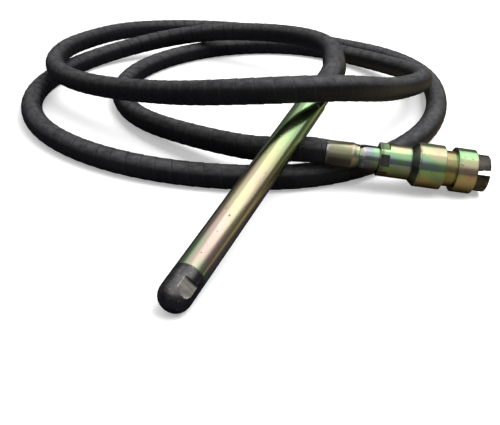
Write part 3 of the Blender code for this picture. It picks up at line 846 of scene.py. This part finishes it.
def make_head(plated, dark):
    """Nose, tube, connector and crimped ferrule of the poker."""
    make_nose(dark)
    low, high, radius = head.span("head_tube")
    tube = turned("poker_tube",
                  [(TUBE_BORE, low), (radius, low, 0.0004), (radius, high, 0.0005),
                   (TUBE_BORE, high)],
                  head, spacing=0.01)
    finish_piece(tube, plated, "shell", "yellow_zinc_plate", "head_tube")

    face = high + GAP
    _, high, radius = head.span("head_connector")
    connector = turned("poker_connector",
                       [*reversed(spigot(CORE_BORE, face, -1)), (radius, face, 0.0006),
                        (radius, high, 0.0008), (CORE_BORE, high)],
                       head, two_flats(radius - CONNECTOR_FLAT_DEPTH,
                                       face + CONNECTOR_FLAT_MARGIN, high + 0.002),
                       spacing=0.0006)
    finish_piece(connector, plated, "shell", "yellow_zinc_plate", "head_connector")

    low, high, radius = head.span("head_ferrule")
    ferrule = turned("poker_ferrule",
                     [(CORE_BORE, low), (FERRULE_NECK, low, 0.0003),
                      (FERRULE_NECK, low + 0.003, 0.001), (radius, low + 0.005, 0.001),
                      (radius, high, 0.0012), (CORE_BORE, high)],
                     head, crimped(low + 0.006, high - 0.002), spacing=0.001)
    finish_piece(ferrule, plated, "shell", "yellow_zinc_plate", "head_ferrule")


# ---------------------------------------------------------------- coupling

def make_neck_and_nut(plated):
    """Crimped ferrule, the stem that it ends in, and the union nut round the stem's collar."""
    low, high, radius = coupling.span("coupling_ferrule")
    ferrule = turned("coupling_crimp",
                     [(CORE_BORE, low), (radius - 0.0008, low, 0.0012),
                      (radius, high - 0.009, 0.002), (FERRULE_NECK, high - 0.0035, 0.0015),
                      (FERRULE_NECK, high, 0.0003), (CORE_BORE, high)],
                     coupling, crimped(low + 0.002, high - 0.008), spacing=0.001)
    finish_piece(ferrule, plated, "shell", "yellow_zinc_plate", "coupling_ferrule")

    low, high, radius = coupling.span("coupling_stem")
    nut_low, nut_high, nut_radius = coupling.span("coupling_nut")
    collar = nut_low + STEM_COLLAR
    neck = turned("coupling_neck",
                  [(CORE_BORE, low), (STEM_RADIUS - 0.0012, low, 0.0006),
                   (STEM_RADIUS, low + 0.006, 0.004), (STEM_RADIUS, collar), (radius, collar),
                   (radius, high, 0.0004), (CORE_BORE, high)],
                  coupling, spacing=0.002)
    finish_piece(neck, plated, "shell", "yellow_zinc_plate", "coupling_stem")

    flats = [(NUT_FLAT_ANGLE + pi / 3 * number, nut_radius - NUT_FLAT_DEPTH, nut_low - 0.002,
              nut_low + NUT_FLAT_LENGTH, 0.0) for number in range(6)]
    narrow, wide = STEM_RADIUS + 0.0004, radius + 0.0005
    nut = turned("coupling_union_nut",
                 [(narrow, nut_low, 0.0003), (nut_radius, nut_low, 0.0011),
                  (nut_radius, nut_high, 0.0009), (wide, nut_high), (wide, collar - GAP),
                  (narrow, collar - GAP)],
                 coupling, milled(*flats), spacing=0.0006)
    finish_piece(nut, plated, "shell", "yellow_zinc_plate", "coupling_nut")


def make_housing(plated):
    """Stepped body: cone, sleeve, latch groove and flange, open to the dog's recess."""
    low, high, radius = coupling.span("coupling_body")
    _, nut_high, nut_radius = coupling.span("coupling_nut")
    cone = nut_high + GAP
    relief = LATCH_RADIUS - LATCH_RELIEF
    body = turned("coupling_housing",
                  [(SPIGOT_BORE, low), (BODY_SPIGOT, low, 0.0005), (BODY_SPIGOT, cone),
                   (nut_radius - 0.0006, cone, 0.0003), (radius, SLEEVE[0] - 0.0008, 0.0009),
                   (radius, SLEEVE[1], 0.0007), (LATCH_RADIUS, SLEEVE[1], 0.0004),
                   (LATCH_RADIUS, FLANGE_LOW - 0.0016, 0.0002), (relief, FLANGE_LOW - 0.0013),
                   (relief, FLANGE_LOW), (radius, FLANGE_LOW, 0.0007),
                   (radius, high, 0.0008), (RECESS_RADIUS, high, 0.0004),
                   (RECESS_RADIUS, RECESS_FLOOR), (BEARING_RADIUS, RECESS_FLOOR),
                   (BEARING_RADIUS, BEARING_FLOOR), (SPIGOT_BORE, BEARING_FLOOR)],
                  coupling, spacing=0.004)
    finish_piece(body, plated, "shell", "yellow_zinc_plate", "coupling_body")


def slot_cutter(reach, top):
    """Box that cuts the slot across the dog's face."""
    width = DOG_SLOT / 2
    corners = [(x, y, z) for z in (DOG_SLOT_FLOOR, top)
               for x, y in ((-reach, -width), (reach, -width), (reach, width), (-reach, width))]
    faces = [(3, 2, 1, 0), (4, 5, 6, 7), (0, 1, 5, 4), (1, 2, 6, 5), (2, 3, 7, 6), (3, 0, 4, 7)]
    mesh = bpy.data.meshes.new("dog_slot_cutter")
    mesh.from_pydata(corners, [], faces)
    cutter = new_piece("dog_slot_cutter", mesh)
    cutter.matrix_world = coupling.matrix @ Matrix.Rotation(DOG_SLOT_ANGLE, 4, "Z")
    return cutter


def make_dog(worn):
    """Driving dog: a disc with one straight slot across its face."""
    low, high, radius = coupling.span("drive_dog")
    dog = turned("drive_dog_detail",
                 [(DOG_BORE, low), (radius, low), (radius, high), (DOG_BORE, high)],
                 coupling, around=SMALL_AROUND)
    cutter = slot_cutter(2 * radius, high + 0.01)
    cut = dog.modifiers.new("slot", "BOOLEAN")
    cut.operation = "DIFFERENCE"
    cut.solver = "EXACT"
    cut.object = cutter
    bevel = dog.modifiers.new("edges", "BEVEL")
    bevel.width = DOG_BEVEL
    bevel.segments = 3
    bevel.limit_method = "ANGLE"
    bevel.angle_limit = radians(40)
    bpy.context.view_layer.update()
    graph = bpy.context.evaluated_depsgraph_get()
    mesh = bpy.data.meshes.new_from_object(dog.evaluated_get(graph))
    dog.modifiers.clear()
    dog.data = mesh
    bpy.data.objects.remove(cutter)
    mesh.shade_smooth()
    mesh.set_sharp_from_angle(angle=radians(35))
    finish_piece(dog, worn, "drive", "worn_steel", "drive_dog")


def make_screw(bright):
    """Cap screw in the middle of the dog, with a hexagon socket."""
    low, high, radius = coupling.span("dog_screw")
    floor = high - SCREW_SOCKET_DEPTH

    def hexagon(value, height, angle):
        sector = (angle + pi / 6) % (pi / 3) - pi / 6
        return np.where(value < 1.01 * SCREW_SOCKET, value / np.cos(sector), value)

    screw = turned("dog_cap_screw",
                   [(0.0, low), (radius, low), (radius, high, 0.0006),
                    (SCREW_SOCKET, high, 0.0001), (SCREW_SOCKET, floor), (0.0, floor)],
                   coupling, hexagon, around=SMALL_AROUND)
    finish_piece(screw, bright, "drive", "bright_steel", "dog_screw")


# ---------------------------------------------------------------- stage

def make_softbox(name, away, size, power, mirrored):
    """Soft rectangular light that faces LIGHT_AIM; unseen by the camera."""
    light = bpy.data.lights.new(name, "AREA")
    light.shape = "RECTANGLE"
    light.size, light.size_y = size
    light.energy = power
    softbox = bpy.data.objects.new(name, light)
    softbox.location = LIGHT_AIM + away
    softbox.rotation_mode = "QUATERNION"
    softbox.rotation_quaternion = away.to_track_quat("Z", "Y")
    softbox.visible_camera = False
    softbox.visible_glossy = mirrored
    bpy.context.scene.collection.objects.link(softbox)


def make_world():
    """Pale surroundings: bright overhead, dim near the horizon, near white for the camera."""
    world = bpy.data.worlds.new("surroundings")
    bpy.context.scene.world = world
    world.use_nodes = True
    nodes = Nodes(world.node_tree)
    nodes.tree.nodes.clear()
    way = nodes.node("ShaderNodeTexCoord").outputs["Generated"]
    sky = nodes.ramp(nodes.part(way, "Z"), *SKY)
    colour = nodes.blend(nodes.light_path("Is Camera Ray"), sky, SKY_SEEN)
    background = nodes.node("ShaderNodeBackground", {"Color": colour}).outputs[0]
    nodes.node("ShaderNodeOutputWorld", {"Surface": background})


def make_floor():
    """Pale floor that is a little brighter for the camera and darker in reflections."""
    size = FLOOR_HALF
    mesh = bpy.data.meshes.new("floor")
    mesh.from_pydata([(-size, -size, 0), (size, -size, 0), (size, size, 0), (-size, size, 0)], [],
                     [(0, 1, 2, 3)])
    floor = new_piece("floor", mesh)
    finish = Finish("floor_paint", Metallic=0.0, Specular_IOR_Level=0.1, Roughness=0.8,
                    Emission_Color=(1.0, 1.0, 1.0, 1.0))
    cloud = finish.noise(finish.object_place(), (3.0, 3.0, 3.0), 3.0, 0.5)
    pale = finish.ramp(cloud, (0.3, FLOOR_PALE), (0.7, FLOOR_PALE + 0.01))
    mirrored = finish.ramp(finish.part(finish.object_place(), "X"), *FLOOR_MIRRORED)
    colour = finish.blend(finish.light_path("Is Glossy Ray"), pale, mirrored)
    lift = finish.times(finish.light_path("Is Camera Ray"), FLOOR_LIFT)
    finish.put(finish.shader.inputs["Base Color"], colour)
    finish.put(finish.shader.inputs["Emission Strength"], lift)
    floor.data.materials.append(finish.material)


def make_stage():
    """Pale floor, pale surroundings, a mirrored softbox and a soft key light."""
    make_floor()
    make_softbox("softbox", *SOFTBOX, mirrored=True)
    make_softbox("key_light", *KEY_LIGHT, mirrored=False)
    make_world()
    bpy.context.scene.view_settings.view_transform = "Standard"
    bpy.context.scene.view_settings.look = "None"


# ---------------------------------------------------------------- whole scene

make_camera()
make_hose(hose_finish("wrapped_rubber"))

head_plate = plated_finish("zinc_plate_head", shift=0.0, patch=(22.0, 22.0, 7.0),
                           tints=TINTS_HEAD, lathe=0.000004, bands=2.4)
coupling_plate = plated_finish("zinc_plate_coupling", shift=11.0, patch=(24.0, 24.0, 24.0),
                               tints=TINTS_COUPLING, lathe=0.00001, stain_and_shade_bands=STAIN_AND_SHADE_BANDS)
nose_steel = steel_finish("oiled_steel", dark=(0.070, 0.069, 0.074), light=(0.19, 0.183, 0.18),
                          edge=(0.85, 0.80, 0.72), rough=0.26, grain=(30.0, 30.0, 1500.0),
                          wall=NOSE_FLAT[1])
dog_steel = steel_finish("worn_steel", dark=(0.036, 0.034, 0.036), light=(0.17, 0.145, 0.13),
                         edge=(0.42, 0.38, 0.34), rough=0.48, grain=(700.0, 700.0, 60.0),
                         pits=0.0001)
bright_steel = steel_finish("ground_steel", dark=(0.42, 0.42, 0.41), light=(0.62, 0.62, 0.60),
                            edge=(0.75, 0.75, 0.73), rough=0.26, grain=(900.0, 900.0, 900.0),
                            pits=0.00001)
seal_rubber = rubber_finish("seal_rubber")

make_head(head_plate, nose_steel)
make_neck_and_nut(coupling_plate)
make_housing(coupling_plate)
make_dog(dog_steel)
make_screw(bright_steel)

# The pieces inside keep their CAD shapes.
for name, node in frame["nodes"].items():
    if node.hide_render:
        continue
    if "seal" in name:
        inside = seal_rubber
    elif name == "eccentric_rotor":
        inside = nose_steel
    else:
        inside = bright_steel
    node.data.materials.clear()
    node.data.materials.append(inside)

make_stage()
